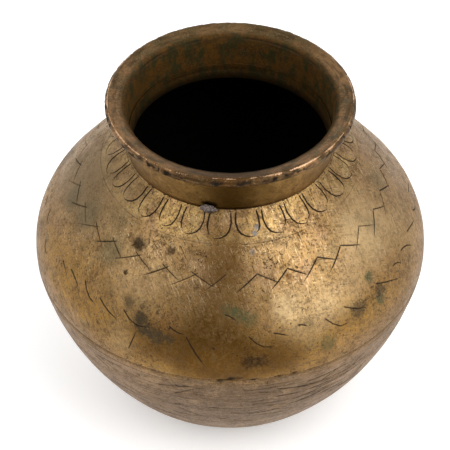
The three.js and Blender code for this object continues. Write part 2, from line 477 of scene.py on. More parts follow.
class Engraving:
    """Strokes on one turned surface. `climb` turns a radius into a distance along the outline."""

    def __init__(self, strokes, outline, span):
        self.strokes = strokes
        run = outline[(outline[:, 1] >= span[0]) & (outline[:, 1] <= span[1])]
        run = run[np.argsort(run[:, 0])]
        self.radii = run[:, 0]
        steps = np.linalg.norm(np.diff(run, axis=0), axis=1)
        self.lengths = np.append(0, np.cumsum(steps))
        self.span = span

    def climb(self, radius):
        return np.interp(radius, self.radii, self.lengths)

    def measure(self, skin, reach):
        """For each stroke: which points are within reach, how far off, and how far along."""
        outside = (skin.out_r > 0.05) & (skin.height > self.span[0]) & (skin.height < self.span[1])
        pool = np.flatnonzero(outside)
        bearing, climb = skin.bearing[pool], self.climb(skin.radius[pool])
        for stroke in self.strokes:
            middle = stroke.bearing.mean()
            girth = stroke.radius.mean()
            x = wrapped(bearing - middle) * girth
            ends_x = (stroke.bearing - middle) * girth
            ends_y = self.climb(stroke.radius)
            margin = reach + stroke.width
            close = ((x > ends_x.min() - margin) & (x < ends_x.max() + margin)
                     & (climb > ends_y.min() - margin) & (climb < ends_y.max() + margin))
            if not close.any():
                continue
            away, share = nearest_on(ends_x, ends_y, x[close], climb[close])
            yield stroke, pool[close], away, share

    def near(self, skin, size):
        """Which squares lie so close to a stroke that they have to be split."""
        wanted = np.zeros(len(skin.bearing), bool)
        for stroke, spots, away, _ in self.measure(skin, size.max()):
            reach = SPLIT_BY_SIZE * size[spots] + SPLIT_BY_WIDTH * stroke.width
            wanted[spots] |= (away < reach) & (size[spots] > 1.5 * stroke.finest)
        return wanted

    def cut(self, skin):
        """How deep each point is cut, and how dark the cut is."""
        depth = np.zeros(len(skin.bearing))
        ink = np.zeros(len(skin.bearing))
        for stroke, spots, away, share in self.measure(skin, CUT_REACH):
            taper = np.clip((1 - share) / stroke.lift_off, 0, 1) ** 0.6
            taper *= np.minimum(1, 0.35 + share / 0.08)
            half = np.maximum(stroke.width / 2 * taper, THINNEST_HALF)
            groove = np.clip(1 - away / half, 0, 1) * stroke.depth * taper
            burr = np.clip(1 - np.abs(away - 1.35 * half) / (0.45 * half), 0, 1)
            depth[spots] = np.maximum(depth[spots], groove - 0.12 * stroke.depth * taper * burr)
            dark = np.clip(1.5 - 1.1 * away / half, 0, 1) * np.minimum(1, 0.35 + taper)
            dark *= stroke.fade
            ink[spots] = np.maximum(ink[spots], dark)
        return depth, ink


# %% [markdown]
# ## The ornament
# Under the neck hang tongue-shaped petals, each cut as two strokes that swing toward its tip. A
# fine double line closes them off. Below runs a zigzag of crossed strokes, one pitch every twelve
# degrees, and lower still a loose broken vine. The cutter's eye set them out, so bearings wander.

# %% Petals, zigzag and vine
wander = random.Random(7)
NECK_RADIUS = section_of("neck_braze_seam")[0][:, 0].min() / MM
PETAL_BEARINGS = [-72, -61, -48.5, -36.5, -25, -12, 1.5, 15, 28, 40.5, 54]
PETAL_PITCH = 12.9
PETAL_TIP = 72.4
PETAL_GAP = 1.4
RING_RADIUS = 74.6
HOOK = [(0, 0), (0.4, -0.03), (0.68, 0.08), (0.86, 0.27), (0.96, 0.54), (1.0, 0.82), (0.98, 1.0)]
STRAIGHT = [(0, 0), (0.35, -0.12), (0.7, -0.08), (0.9, 0.1), (1, 0.4)]


def bearings_round():
    """The bearings of the petal pairs, listed at the front and evenly spaced at the back."""
    bearings = list(PETAL_BEARINGS)
    gap = 360 + bearings[0] - bearings[-1]
    count = round(gap / PETAL_PITCH)
    bearings += [bearings[-1] + gap * k / count for k in range(1, count)]
    return bearings


def petals():
    """Each tongue has one stroke that hooks right round its tip, and a straighter partner."""
    strokes = []
    bearings = bearings_round()
    for here, after in zip(bearings, bearings[1:] + [bearings[0] + 360]):
        left = here + PETAL_GAP + wander.uniform(-0.3, 0.3)
        right = after - PETAL_GAP + wander.uniform(-0.3, 0.3)
        tip = PETAL_TIP + wander.uniform(-0.7, 0.5)
        top = NECK_RADIUS + wander.uniform(0.1, 0.6)
        hook_left = (here + after) / 2 > 0
        for start, across, hooks in ((left, right - left, hook_left),
                                     (right, left - right, not hook_left)):
            track = HOOK if hooks else STRAIGHT
            reach = wander.uniform(0.95, 1.0) if hooks else wander.uniform(0.8, 0.95)
            swing = across * (wander.uniform(0.68, 0.82) if hooks else 0.4)
            points = [(start + swing * side, top + (tip - top) * reach * down)
                      for down, side in track]
            strokes.append(Stroke(points, wander.uniform(0.85, 1.1), 0.42, lift_off=0.4))
    return strokes


ZIGZAG_COUNT = 31
ZIGZAG_START = -1.6
ZIGZAG_TOP = 86.7
RIGHT_FALL = 4.9
LEFT_FALL = 6.9
CROSSING = 1.4


def zigzag():
    """From each crest one stroke falls right and a longer one left; on the left they cross."""
    strokes = []
    pitch = 360 / ZIGZAG_COUNT
    for k in range(ZIGZAG_COUNT):
        crest = ZIGZAG_START + pitch * k + wander.uniform(-0.6, 0.6)
        height = ZIGZAG_TOP + wander.uniform(-0.6, 0.6)
        apart = CROSSING if k > ZIGZAG_COUNT / 2 else 0
        right = [(crest - apart, height), (crest + wander.uniform(6.8, 8.4), height + RIGHT_FALL)]
        left = [(crest + apart, height + 0.2),
                (crest - wander.uniform(6.8, 8.8), height + LEFT_FALL)]
        for points in (right, left)[k == 0:]:
            fade = wander.uniform(0.6, 1.0) * (0.8 if apart else 1.0)
            strokes.append(Stroke(points, wander.uniform(0.75, 1.0), 0.32, 0.4, fade))
    return strokes


def ring(radius, width, depth, fade, breaks=9):
    """A scribed circle, broken where the scriber skipped."""
    strokes = []
    start = wander.uniform(0, 40)
    for _ in range(breaks):
        run = 360 / breaks * wander.uniform(0.7, 0.98)
        steps = np.linspace(start, start + run, 9)
        drift = wander.uniform(-0.12, 0.12)
        points = [(a, radius + drift + 0.08 * math.sin(i)) for i, a in enumerate(steps)]
        strokes.append(Stroke(points, width, depth, 0.2, fade, 0.6))
        start += 360 / breaks
    return strokes


VINE_LOW = 114.6
VINE_FRONT = [
    (-61, 108, 18, 8), (-55, 108, 17, 12), (-47, 108, 22, 15), (-39, 109, 15, 16),
    (-29, 108, 9, 19), (-29, 113, -55, 6), (-16, 108, 13, 10), (-10, 112, 32, 14), (0, 102, 23, 7),
    (9, 110, 17, 15), (15, 109, 13, 9), (22, 108, 16, 6), (33, 110, 19, 15), (40, 109, 19, 15),
    (55, 109, 17, 19), (62, 108, 18, 8), (70, 108, 20, 13),
]


def vine():
    """Shallow bowed strokes: bearing, radius, heading from level and length in millimetres."""
    strokes = []
    back = [(bearing, 108 + wander.uniform(-2, 3), wander.uniform(8, 26), wander.uniform(7, 18))
            for bearing in range(79, 295, 9)]
    for bearing, radius, heading, length in VINE_FRONT + back:
        turn = math.radians(heading)
        along, down = math.cos(turn) * length, math.sin(turn) * length * 0.75
        bow = wander.uniform(-0.10, 0.10) * length
        degrees = math.degrees(1 / radius)
        points = []
        for k in (-0.5, -0.2, 0.1, 0.5):
            sag = bow * (1 - 4 * k * k)
            points.append((bearing + (along * k - sag * math.sin(turn)) * degrees,
                           min(radius + down * k + sag * math.cos(turn), VINE_LOW)))
        strokes.append(Stroke(points, wander.uniform(0.75, 1.0), 0.3, 0.4, 0.9))
    return strokes


def dotted(bearing, first, last, spread, count):
    """Loose punch dots, as short strokes no longer than they are wide."""
    dots = []
    for _ in range(count):
        a = bearing + wander.gauss(0, spread)
        r = wander.uniform(first, last)
        points = [(a, r), (a + 0.2, r + 0.25)]
        dots.append(Stroke(points, wander.uniform(0.7, 1.3), 0.3, 2.0, 1.0, 0.6))
    return dots


# Patches of dots: bearing, first and last radius, spread in degrees and how many.
DOT_PATCHES = [
    (16, 78, 86, 2.6, 26), (-19, 77, 83, 0.5, 12), (-11, 77, 84, 0.8, 14), (24, 97, 103, 1.5, 12),
    (-20, 103, 109, 3.0, 26), (6, 111, 114, 4, 18), (7, 76, 81, 2.4, 12), (23, 74, 77, 2.5, 9),
    (-30, 77, 84, 3.0, 12), (24, 104, 109, 5.0, 22), (17, 97, 101, 2.5, 10),
]
LOOSE_DOTS = 90
strokes = petals() + zigzag() + vine()
strokes += ring(RING_RADIUS, 0.5, 0.15, 0.5) + ring(RING_RADIUS + 1.3, 0.4, 0.1, 0.28)
for row in DOT_PATCHES:
    strokes += dotted(*row)
for _ in range(LOOSE_DOTS):
    strokes += dotted(wander.uniform(-180, 180), 64, 112, 0.5, 1)
print(len(strokes), "strokes on the shoulder")

# %% [markdown]
# ## Shoulder shell
# The upper half carries all the ornament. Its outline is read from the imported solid, the net is
# split along every stroke, and the strokes are pressed into the hammered skin.

# %% Shoulder shell
_, shoulder_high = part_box("shoulder_shell")
seam_low, seam_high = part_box("belly_braze_seam")
foot_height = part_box("neck_braze_seam")[0].z
shoulder_outline, _ = section_of("shoulder_shell")
FOOT_MARGIN = 1.9 * MM
collar_foot_radius = section_of("neck_collar")[0][:, 0].min() + FOOT_MARGIN
widest = shoulder_outline[shoulder_outline[:, 0].argmax(), 1]
SHELL_STEP = 4.8 * MM
SHELL_COLUMNS = 120
VISIBLE_STEP = 2.6 * MM
FEATHER_EDGE = 0.15 * MM
UNDER_COLLAR = 4 * MM
PIT_DEPTH = 0.5 * MM
SHOULDER_WEAR = 6 * MM


def outer_run(outline, low, high):
    """The stretch of an outline that climbs the outside, between two heights."""
    climbs = np.gradient(outline[:, 1]) > 0
    return outline[climbs & (outline[:, 1] >= low) & (outline[:, 1] <= high)]


fine_outline = curved(shoulder_outline, True, VISIBLE_STEP, 1)
face_run = outer_run(fine_outline, widest, foot_height + UNDER_COLLAR)
engraving = Engraving(strokes, face_run, (widest - 0.5 * MM, foot_height + UNDER_COLLAR))


def inner_side(skin):
    """1 on the faces that look into the pot."""
    return (skin.out_r < -0.02).astype(float)


def feathered(outline):
    """The upstand inside the collar is dressed to a thin edge, so it runs into the collar."""
    top = outline[:, 1] > shoulder_high.z - 1 * MM
    thick = outline[top, 0].max() - FEATHER_EDGE
    outline = outline.copy()
    outline[top, 0] = np.maximum(outline[top, 0], thick)
    return outline


def seam_wear(skin, reach):
    """Pits eaten along the belly braze, thickest at the front."""
    points = skin.points()
    grain = rolling(points, 3.2 * MM, 3, 5.2)
    close = np.clip(1 - np.abs(skin.height - seam_high.z) / reach, 0, 1) ** 0.7
    front = np.exp(-(np.degrees(skin.bearing) / 16) ** 2)
    return np.clip((grain * (0.62 + 0.36 * front) * close - 0.46) * 5, 0, 1)


def shoulder_work(skin):
    depth, ink = engraving.cut(skin)
    pits = seam_wear(skin, SHOULDER_WEAR) * (skin.out_r > 0)
    lift = hammered(skin) - depth - PIT_DEPTH * pits
    upstand = (skin.height > foot_height + 0.5 * MM) & (skin.radius < collar_foot_radius)
    marks = {"ink": np.maximum(ink, 0.9 * pits), "inner": np.maximum(inner_side(skin), upstand),
             "neck": upstand}
    return lift, marks


def split_outside(cuts):
    """Squares that show from outside are split once at least; cuts split them further."""
    def near(skin, size):
        return cuts.near(skin, size) | ((skin.out_r > 0) & (size > VISIBLE_STEP))
    return near


shoulder = turned("shoulder", "shoulder_shell", SHELL_STEP, SHELL_COLUMNS, 4,
                  split_outside(engraving), shoulder_work, feathered)

# %% [markdown]
# ## Lower bowl
# Below the belly the pot was scraped on a turning stick, which left level scratches, and it has
# been set down and dragged for years. A few real gouges run nearly level round it.

# %% Lower bowl
bowl_outline, _ = section_of("lower_bowl")
bowl_fine = curved(bowl_outline, False, VISIBLE_STEP, 1)
BOWL_SPAN = (6 * MM, seam_low.z - 1 * MM)
BOWL_WEAR = 5 * MM
GOUGES = 380
gouges = []
for _ in range(GOUGES):
    bearing, radius = wander.uniform(-180, 180), 114 - 40 * wander.random() ** 1.6
    run = wander.uniform(3, 16)
    drift = wander.gauss(0, 1.6) if wander.random() < 0.9 else wander.uniform(-8, 8)
    bow = wander.uniform(-0.5, 0.5)
    points = [(bearing + run * k, max(radius - abs(drift) + drift * k + bow * k * (1 - k), 70))
              for k in (0, 0.35, 0.7, 1)]
    fade = wander.uniform(0.45, 1.0)
    gouges.append(Stroke(points, wander.uniform(0.7, 1.1), 0.25, 0.5, fade, 0.6))
scrapes = Engraving(gouges, outer_run(bowl_fine, *BOWL_SPAN), BOWL_SPAN)


def bowl_work(skin):
    depth, ink = scrapes.cut(skin)
    pits = seam_wear(skin, BOWL_WEAR) * (skin.out_r > 0)
    lift = hammered(skin) - depth - PIT_DEPTH * pits
    flat_base = skin.height < 0.05 * MM
    lift = np.where(flat_base, 0, lift)
    inner = np.maximum(inner_side(skin), (skin.out_z > 0.5) & (skin.height < 30 * MM))
    return lift, {"ink": np.maximum(ink, 0.9 * pits), "inner": inner}


bowl = turned("bowl", "lower_bowl", SHELL_STEP, SHELL_COLUMNS, 3,
              split_outside(scrapes), bowl_work)

# %% [markdown]
# ## Collar and lip
# The lip takes every knock. Its rolled edge is wavy, split in a few places where the sheet was
# stretched too thin, and pitted between the splits. The rub mark is strong on the crest, where
# ropes and hands polish the metal, and it carries a painted highlight whose line sits higher on
# the roll in front. Just inside the mouth a shallow ledge marks where the sheet begins to roll over
# its wire, and in front the throat below it is painted near-black as shade. Streaks and grime
# follow the roll, where the skin of the metal was drawn out as it was beaten over.

# %% Collar and lip
_, collar_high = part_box("neck_collar")
LIP_DEPTH = 4 * MM
FRONT_SPREAD = 24
MOUTH_EASE = 3.2 * MM
ROLL_EASE = 4.5 * MM
LEDGE_DROP = 1.3 * MM
# The throat's painted shade: how far in from the mouth's corner, and how far round from the front.
THROAT_REACH = 3.4 * MM
THROAT_SPREAD = 50
STREAK_LONG = 9 * MM
STREAK_WIDE = 1.3 * MM
SPLITS = ((3, 0.2), (8.5, -0.3), (-34, 0.3), (71, -0.2), (152, 0.2), (-120, 0.3))
SPLIT_HALF = 0.9 * MM
wire_low, wire_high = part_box("lip_core_wire")
bead_height = (wire_low.z + wire_high.z) / 2
bead_radius = section_of("lip_core_wire")[0][:, 0].mean()


def eased(outline, corner, reach):
    """The outline with one corner replaced by a curve that starts `reach` to each side."""
    before, here, after = outline[corner - 1], outline[corner], outline[(corner + 1) % len(outline)]
    start = here + (before - here) * reach / np.linalg.norm(before - here)
    stop = here + (after - here) * reach / np.linalg.norm(after - here)
    curve = [start * (1 - t) ** 2 + here * 2 * t * (1 - t) + stop * t ** 2
             for t in np.linspace(0, 1, 7)]
    return np.concatenate([outline[:corner], curve, outline[corner + 1:]])


def flared(outline):
    """The lip was beaten out over a stake, so the mouth flares in a curve, not at a corner."""
    mouth = outline[:, 1] > collar_high.z - LIP_DEPTH
    innermost = np.where(mouth, outline[:, 0], np.inf)
    inner_corner = int(innermost.argmin())
    innermost[inner_corner] = np.inf
    outer_corner = int(innermost.argmin())
    eases = {inner_corner: MOUTH_EASE, outer_corner: ROLL_EASE}
    for corner in sorted(eases, reverse=True):
        outline = eased(outline, corner, eases[corner])
    return outline


collar_outline, _ = section_of("neck_collar")
above_wire = collar_outline[collar_outline[:, 1] > collar_high.z - LIP_DEPTH]
mouth_radius, mouth_height = above_wire[above_wire[:, 0].argmin()]
print(f"mouth corner at radius {mouth_radius / MM:.1f}, height {mouth_height / MM:.1f} mm")


def lip_splits(skin):
    """1 in the middle of a split; each split is a bearing in degrees and a lean."""
    split = np.zeros(len(skin.bearing))
    for bearing, lean in SPLITS:
        off = wrapped(skin.bearing - math.radians(bearing)) * skin.radius
        off = off - lean * (skin.height - bead_height)
        split = np.maximum(split, np.clip(1 - np.abs(off) / SPLIT_HALF, 0, 1))
    return split


def lip_streaks(skin):
    """Noise drawn out round the lip, like the skin of metal that was beaten over a wire."""
    laid_out = np.stack([skin.bearing * bead_radius / STREAK_LONG, skin.along / STREAK_WIDE,
                         0 * skin.along], 1)
    return np.clip((rolling(laid_out, 1.0, 2, 7.7) - 0.5) * 4, 0, 1)


def throat_and_ledge(skin, patchy):
    """Painted shade in the throat's front, and the broken ledge just below the mouth's corner."""
    throat = np.clip((mouth_radius + THROAT_REACH - skin.radius) / MM, 0, 1) * inner_side(skin)
    throat *= np.exp(-(np.degrees(skin.bearing) / THROAT_SPREAD) ** 2)
    ledge = np.clip(1.3 - np.abs(skin.height - mouth_height + LEDGE_DROP) / (0.75 * MM), 0, 1)
    ledge *= inner_side(skin) * np.clip((patchy - 0.25) * 3, 0, 1)
    return throat, ledge


def lip_work(skin):
    points = skin.points()
    wave = rolling(points, 30 * MM, 2, 2.2)
    lumps = rolling(points, 5 * MM, 3, 6.6)
    patchy = rolling(points, 11 * MM, 3, 12.4)
    on_lip = np.clip((skin.height - collar_high.z + 8 * MM) / (3 * MM), 0, 1)
    angle = np.degrees(np.arctan2(skin.height - bead_height, skin.radius - bead_radius))
    outer_edge = np.clip(1 - np.abs(angle - 15) / 75, 0, 1) * (skin.radius > bead_radius - MM)
    pits = np.clip((rolling(points, 3.2 * MM, 3, 9.1) - 0.56) * 8, 0, 1) * outer_edge
    split = lip_splits(skin) * outer_edge
    # front: the weight of the painted shade on the collar's wall and lip, centred on the front
    front = np.exp(-(np.degrees(skin.bearing) / FRONT_SPREAD) ** 2)
    # crest: rubbed copper, and a painted highlight line that sits higher on the roll in front
    crest = np.clip(1 - np.abs(angle - 62 - 20 * front) / 32, 0, 1)
    crest *= skin.radius > bead_radius - 3 * MM
    throat, ledge = throat_and_ledge(skin, patchy)
    lift = -0.22 * MM * wave * (0.4 + on_lip) - 0.32 * MM * lumps * on_lip
    lift -= 0.5 * MM * pits + 0.55 * MM * split
    lift -= 0.3 * MM * ledge
    marks = {"ink": np.maximum(np.maximum(pits, split), 0.55 * ledge),
             "rub": crest * (0.15 + 0.55 * lumps + 0.6 * patchy),
             "front": front,
             "inner": inner_side(skin) * np.clip((collar_high.z - skin.height) / MM - 1.3, 0, 1),
             "lip": on_lip,
             "throat": throat,
             "streak": lip_streaks(skin) * on_lip,
             "grime": np.clip((rolling(points, 6 * MM, 4, 15.3) - 0.50) * 7, 0, 1) * outer_edge}
    return lift, marks


def lip_fine(skin, size):
    return (skin.height > collar_high.z - 6.5 * MM) & (size > 0.9 * MM)


collar = turned("collar", "neck_collar", 1.6 * MM, 224, 1, lip_fine, lip_work, flared)
core_wire = turned("core_wire", "lip_core_wire", 1.0 * MM, 160)

# %% [markdown]
# ## Braze
# Spelter is run in hot and flows unevenly. The belly seam was dressed level and shows only as a
# paler line. The fillet round the collar's foot was left rough. The grey lump on it is soft
# solder, melted on much later over a leak.

# %% Braze seams and the solder lump
SEAM_PROUD = 0.05 * MM
SEAM_SPREAD = 2.2
SEAM_PIT_DEPTH = 0.4 * MM
FILLET_KEEP = 0.2


def ripple(amount, size, seed):
    """A `work` function for braze that was left as it ran."""
    def work(skin):
        lumps = rolling(skin.points(), size, 3, seed)
        return -amount * lumps, {"ink": np.clip((lumps - 0.55) * 3, 0, 1)}
    return work


def dressed(skin):
    """Filed level with the shells, so it follows the same hammered skin."""
    pits = seam_wear(skin, SHOULDER_WEAR)
    outward = np.clip(skin.out_r, 0, 1)
    lift = np.minimum(hammered(skin) + SEAM_PROUD, 0) * outward - SEAM_PIT_DEPTH * pits * outward
    return lift, {"ink": 0.9 * pits}


def spread(outline):
    """Braze runs a little way up both shells, over their edges."""
    middle = (outline[:, 1].max() + outline[:, 1].min()) / 2
    return np.stack([outline[:, 0], middle + (outline[:, 1] - middle) * SEAM_SPREAD], 1)


def thinned(outline):
    """Seen from outside the fillet is only a thin line in the corner under the collar."""
    corner = np.array([collar_foot_radius, foot_height + FILLET_KEEP * MM])
    return corner + (outline - corner) * FILLET_KEEP


belly_braze = turned("belly_braze", "belly_braze_seam", 0.5 * MM, 420, work=dressed,
                     shape=spread)
neck_braze = turned("neck_braze", "neck_braze_seam", 0.4 * MM, 480,
                    work=ripple(0.3 * MM, 3 * MM, 4.4), shape=thinned)


def solder_lump():
    """A ball squeezed into the lump's own box and dented by noise, never pushed outward."""
    source = frame["nodes"]["neck_solder_lump"].data
    corners = np.array([v.co for v in source.vertices])
    middle = (corners.max(0) + corners.min(0)) / 2
    ball = bmesh.new()
    bmesh.ops.create_icosphere(ball, subdivisions=5, radius=1)
    out = Vector((middle[0], middle[1], 0)).normalized()
    side = Vector((-out.y, out.x, 0))
    reach = [np.ptp(corners @ np.array(axis)) / 2 for axis in (side, out, (0, 0, 1))]
    for vertex in ball.verts:
        p = vertex.co.copy()
        lump = 0.80 + 0.36 * (noise.fractal(p * 2.6, 1.0, 2.0, 3) - 0.1)
        p = p * min(lump, 1.0)
        vertex.co = Vector(middle) + side * p.x * reach[0] + out * p.y * reach[1]
        vertex.co.z += p.z * reach[2]
    mesh = bpy.data.meshes.new("solder")
    ball.to_mesh(mesh)
    ball.free()
    mesh.polygons.foreach_set("use_smooth", [True] * len(mesh.polygons))
    piece = placed("solder", mesh)
    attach(piece, "root")
    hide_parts("neck_solder_lump")
    print("solder lump", [round(2 * r / MM, 1) for r in reach], "mm")
    return piece


solder = solder_lump()

# %% [markdown]
# ## Finishes as sums
# A finish is a chain of nodes, and a chain of nodes is arithmetic. `Value` wraps a socket so that
# the arithmetic can be written as such; each operator adds one Math node. `Net.node` adds any
# other node from its type, its settings and what its sockets take.

# %% Shader arithmetic
class Value:
    """One output of a node, written as a number would be."""

    def __init__(self, net, socket):
        self.net, self.socket = net, socket

    def _join(self, operation, first, second):
        return self.net.node("ShaderNodeMath", {"operation": operation}, {0: first, 1: second})

    def __add__(self, other):
        return self._join("ADD", self, other)

    def __sub__(self, other):
        return self._join("SUBTRACT", self, other)

    def __rsub__(self, other):
        return self._join("SUBTRACT", other, self)

    def __mul__(self, other):
        return self._join("MULTIPLY", self, other)

    __radd__ = __add__
    __rmul__ = __mul__


class Net:
    """The nodes of one material, or of the room."""

    def __init__(self, owner):
        self.owner = owner
        owner.use_nodes = True
        self.tree = owner.node_tree
        self.tree.nodes.clear()
        self.here = self.node("ShaderNodeTexCoord", out="Object")

    def node(self, kind, settings=None, sockets=None, out=0):
        made = self.tree.nodes.new(kind)
        for key, value in (settings or {}).items():
            setattr(made, key, value)
        for key, value in (sockets or {}).items():
            if isinstance(value, Value):
                self.tree.links.new(value.socket, made.inputs[key])
            else:
                made.inputs[key].default_value = value
        return Value(self, made.outputs[out])

    def mark(self, name):
        """What a `work` function left at each point under this name."""
        return self.node("ShaderNodeAttribute", {"attribute_name": name}, out="Fac")

    def axis(self, name):
        """One of the object's coordinates: X, Y or Z."""
        return self.node("ShaderNodeSeparateXYZ", None, {0: self.here}, out=name)

    def stretched(self, x, y, z):
        return self.node("ShaderNodeVectorMath", {"operation": "MULTIPLY"},
                         {0: self.here, 1: (x, y, z)})

    def turned_by(self, angles, scale):
        """Object coordinates turned, then stretched: for streaks that run any way."""
        return self.node("ShaderNodeMapping", {"vector_type": "TEXTURE"},
                         {"Vector": self.here, "Rotation": angles,
                          "Scale": tuple(1 / s for s in scale)})

    def noise(self, size, detail=3.0, rough=0.55, seed=0.0, at=None):
        """Cloudy noise, from about 0 to 1, whose blots are `size` metres across."""
        return self.node("ShaderNodeTexNoise", {"noise_dimensions": "4D"},
                         {"Vector": at or self.here, "W": seed, "Scale": 1 / size,
                          "Detail": detail, "Roughness": rough})

    def over(self, value, low, high):
        """0 below `low`, 1 above `high`, and an eased rise between; falls if low > high."""
        return self.node("ShaderNodeMapRange", {"interpolation_type": "SMOOTHSTEP"},
                         {"Value": value, "From Min": low, "From Max": high})

    def mix(self, first, second, share):
        """A colour, or a blend of two colours, by share."""
        return self.node("ShaderNodeMix", {"data_type": "RGBA"},
                         {0: share, 6: first, 7: second}, out=2)

    def layered(self, colour, layers):
        """A colour with others laid over it in turn, each by its share."""
        for paint, share in layers:
            colour = self.mix(colour, paint, share)
        return colour

    def from_point(self, point):
        """Distance from a point of the object, in metres."""
        return self.node("ShaderNodeVectorMath", {"operation": "DISTANCE"},
                         {0: self.here, 1: tuple(point)}, out="Value")

    def finish(self, colour, rough, metal, height, lift, still=None):
        """The metal itself. `height` is a relief from 0 to 1, `lift` metres at 1."""
        bump = self.node("ShaderNodeBump", None, {"Strength": 1.0, "Distance": lift,
                                                  "Height": height})
        sockets = {"Base Color": colour, "Roughness": rough, "Metallic": metal, "Normal": bump}
        sockets.update(still or {})
        body = self.node("ShaderNodeBsdfPrincipled", None, sockets)
        self.end("ShaderNodeOutputMaterial", body)
        return self.owner

    def end(self, kind, body):
        output = self.tree.nodes.new(kind)
        self.tree.links.new(body.socket, output.inputs["Surface"])
        print(self.owner.name, "uses", len(self.tree.nodes), "nodes")


# %% [markdown]
# ## Old brass
# Brass is about two parts copper to one of zinc. Kept in use it is yellow where it is rubbed and
# grows a brown skin of oxide where it isn't. So the finish is layered: bright metal, a cloudy
# brown tarnish over it, fine pepper where the zinc has gone, hair scratches in every direction,
# and black in the cuts. Everything is driven by noise at the sizes seen on real pots.

# %% Colours of old brass
GOLD = (0.345, 0.205, 0.077, 1)
BELLY_GOLD = (0.305, 0.158, 0.027, 1)
YELLOW = (0.46, 0.295, 0.100, 1)
PALE = (0.60, 0.44, 0.25, 1)
TARNISH = (0.215, 0.122, 0.044, 1)
DEEP_TARNISH = (0.080, 0.044, 0.015, 1)
PINK_GREY = (0.150, 0.093, 0.052, 1)
ROSE = (0.31, 0.182, 0.098, 1)
FLANK = (0.260, 0.160, 0.082, 1)
GREY_GREEN = (0.145, 0.118, 0.056, 1)
COPPER = (0.42, 0.22, 0.115, 1)
BLACK = (0.016, 0.011, 0.006, 1)
EATEN = (0.055, 0.028, 0.011, 1)

# Each kind of spot: its colour, how metallic it stays, how much rougher it is, and whether its
# edge is soft.
SPOT_KINDS = {
    # olive: patina, and painted shade for the dark band low on the front
    "olive_painted_shade": ((0.090, 0.042, 0.008, 1), 1.0, 0.0, True),
    "blot": ((0.040, 0.030, 0.022, 1), 1.0, 0.05, True),
    # rubbed: rubbed metal, and painted highlight on the lit right side
    "rubbed": ((0.52, 0.37, 0.19, 1), 1.0, -0.02, True),
    "slate": ((0.112, 0.098, 0.054, 1), 1.0, 0.08, True),
    # dull: greyish patina, and painted shade on the left side of the body
    "dull_painted_shade": ((0.185, 0.128, 0.066, 1), 1.0, 0.05, True),
    "rust": ((0.15, 0.068, 0.020, 1), 0.9, 0.1, False),
    "green": ((0.080, 0.078, 0.034, 1), 0.95, 0.12, False),
    "crust": ((0.058, 0.041, 0.021, 1), 0.95, 0.12, False),
    "stain": ((0.040, 0.021, 0.008, 1), 1.0, 0.08, False),
    "blue": ((0.17, 0.165, 0.165, 1), 0.95, 0.1, False),
}

# Where they lie: bearing in degrees, radius and size in millimetres, and strength.
SPOTS = {
    # The olive spots low on the front are painted shade of the dark band there, over patina.
    "olive_painted_shade": [(-2, 78, 15, 0.6), (-2, 96, 19, 0.6), (-10, 113, 22, 0.95), (3, 114, 20, 0.95),
              (16, 114, 14, 0.7), (-25, 112, 15, 0.6), (100, 90, 30, 0.4), (178, 108, 26, 0.6)],
    "blot": [(-38, 83, 4.0, 1.0), (-24, 80.5, 3.2, 0.55), (-38, 95, 1.8, 0.7),
             (-28, 108, 3.2, 0.8), (-24, 110.5, 3.4, 0.6), (-33, 104, 3.0, 0.5)],
    # Most rubbed spots lie on the right, where they are painted highlight over rubbed metal.
    "rubbed": [(52, 95, 20, 0.3), (61, 86, 24, 0.45), (76, 105, 24, 0.3), (24, 104, 20, 0.5),
               (17, 100, 9, 0.4), (38, 103, 16, 0.35), (22, 75, 10, 0.3), (-33, 95, 26, 0.3),
               (-33, 114, 11, 0.3), (-150, 92, 26, 0.3)],
    "slate": [(-80, 91, 9, 0.85), (-67, 88, 12, 0.7), (-47, 91, 10, 0.6), (84, 85, 10, 0.4),
              (63, 90, 7, 0.4), (-165, 86, 10, 0.4)],
    # The dull spots are painted shade on the left side, over greyish patina.
    "dull_painted_shade": [(-62, 76, 32, 0.5), (-91, 87, 30, 0.6)],
    "rust": [(-19, 107, 8, 0.5), (21, 90, 2, 0.8)],
    "green": [(-1, 99.5, 4.5, 0.6), (3, 101.5, 4.5, 0.75), (6.5, 103, 4.5, 0.6),
              (49, 103.5, 3.2, 0.95), (50, 111.5, 3.4, 0.9), (29, 113.7, 5.5, 0.6),
              (130, 96, 12, 0.5), (-140, 110, 7, 0.5)],
    "crust": [(-33, 104, 4.5, 0.6), (-28, 107.5, 4.4, 0.95), (-26, 110, 4.5, 1.0),
              (-22, 111, 5, 0.9), (-18, 111, 3.4, 0.7), (51, 109.4, 4.5, 0.9),
              (41, 110, 5.5, 0.8), (-50, 80, 4, 0.4), (60, 84, 4, 0.4), (24, 108, 4, 0.4),
              (-110, 103, 9, 0.6)],
    "stain": [(-38, 83, 4.4, 0.8), (-24, 80.5, 2.6, 0.7), (-38, 95, 1.8, 0.8), (5.5, 114, 5, 0.9),
              (-56, 86, 2.2, 0.5), (-12, 92, 1.6, 0.6), (32, 88, 1.8, 0.6), (9, 114, 4.5, 0.7),
              (165, 104, 7, 0.7), (112, 110, 4, 0.8)],
    "blue": [(12.5, 67.5, 1.9, 0.9), (11, 70.5, 1.7, 0.8), (9, 78, 2.2, 0.5)],
}

# Zones crowded with small pits: bearing, radius and size.
PITTED = [(-22, 106, 10), (-28, 104, 8), (22, 104, 11), (28, 107, 9), (16, 82, 7), (-30, 80, 9),
          (45, 109, 9), (6, 113, 10), (-11, 81, 5), (150, 100, 14), (-120, 105, 12), (95, 110, 9)]
print(sum(len(places) for places in SPOTS.values()), "spots of", len(SPOT_KINDS), "kinds")

# %% [markdown]
# ## Layers
# A `Coat` holds the noises of one finish and what the layers have made so far. Each function
# below adds one kind of wear to it, and a few spots also paint shade and highlight. The shoulder
# is yellower above its scribed ring and duller low on its flanks, away from the front. The bowl
# carries the turning stick's level lines.

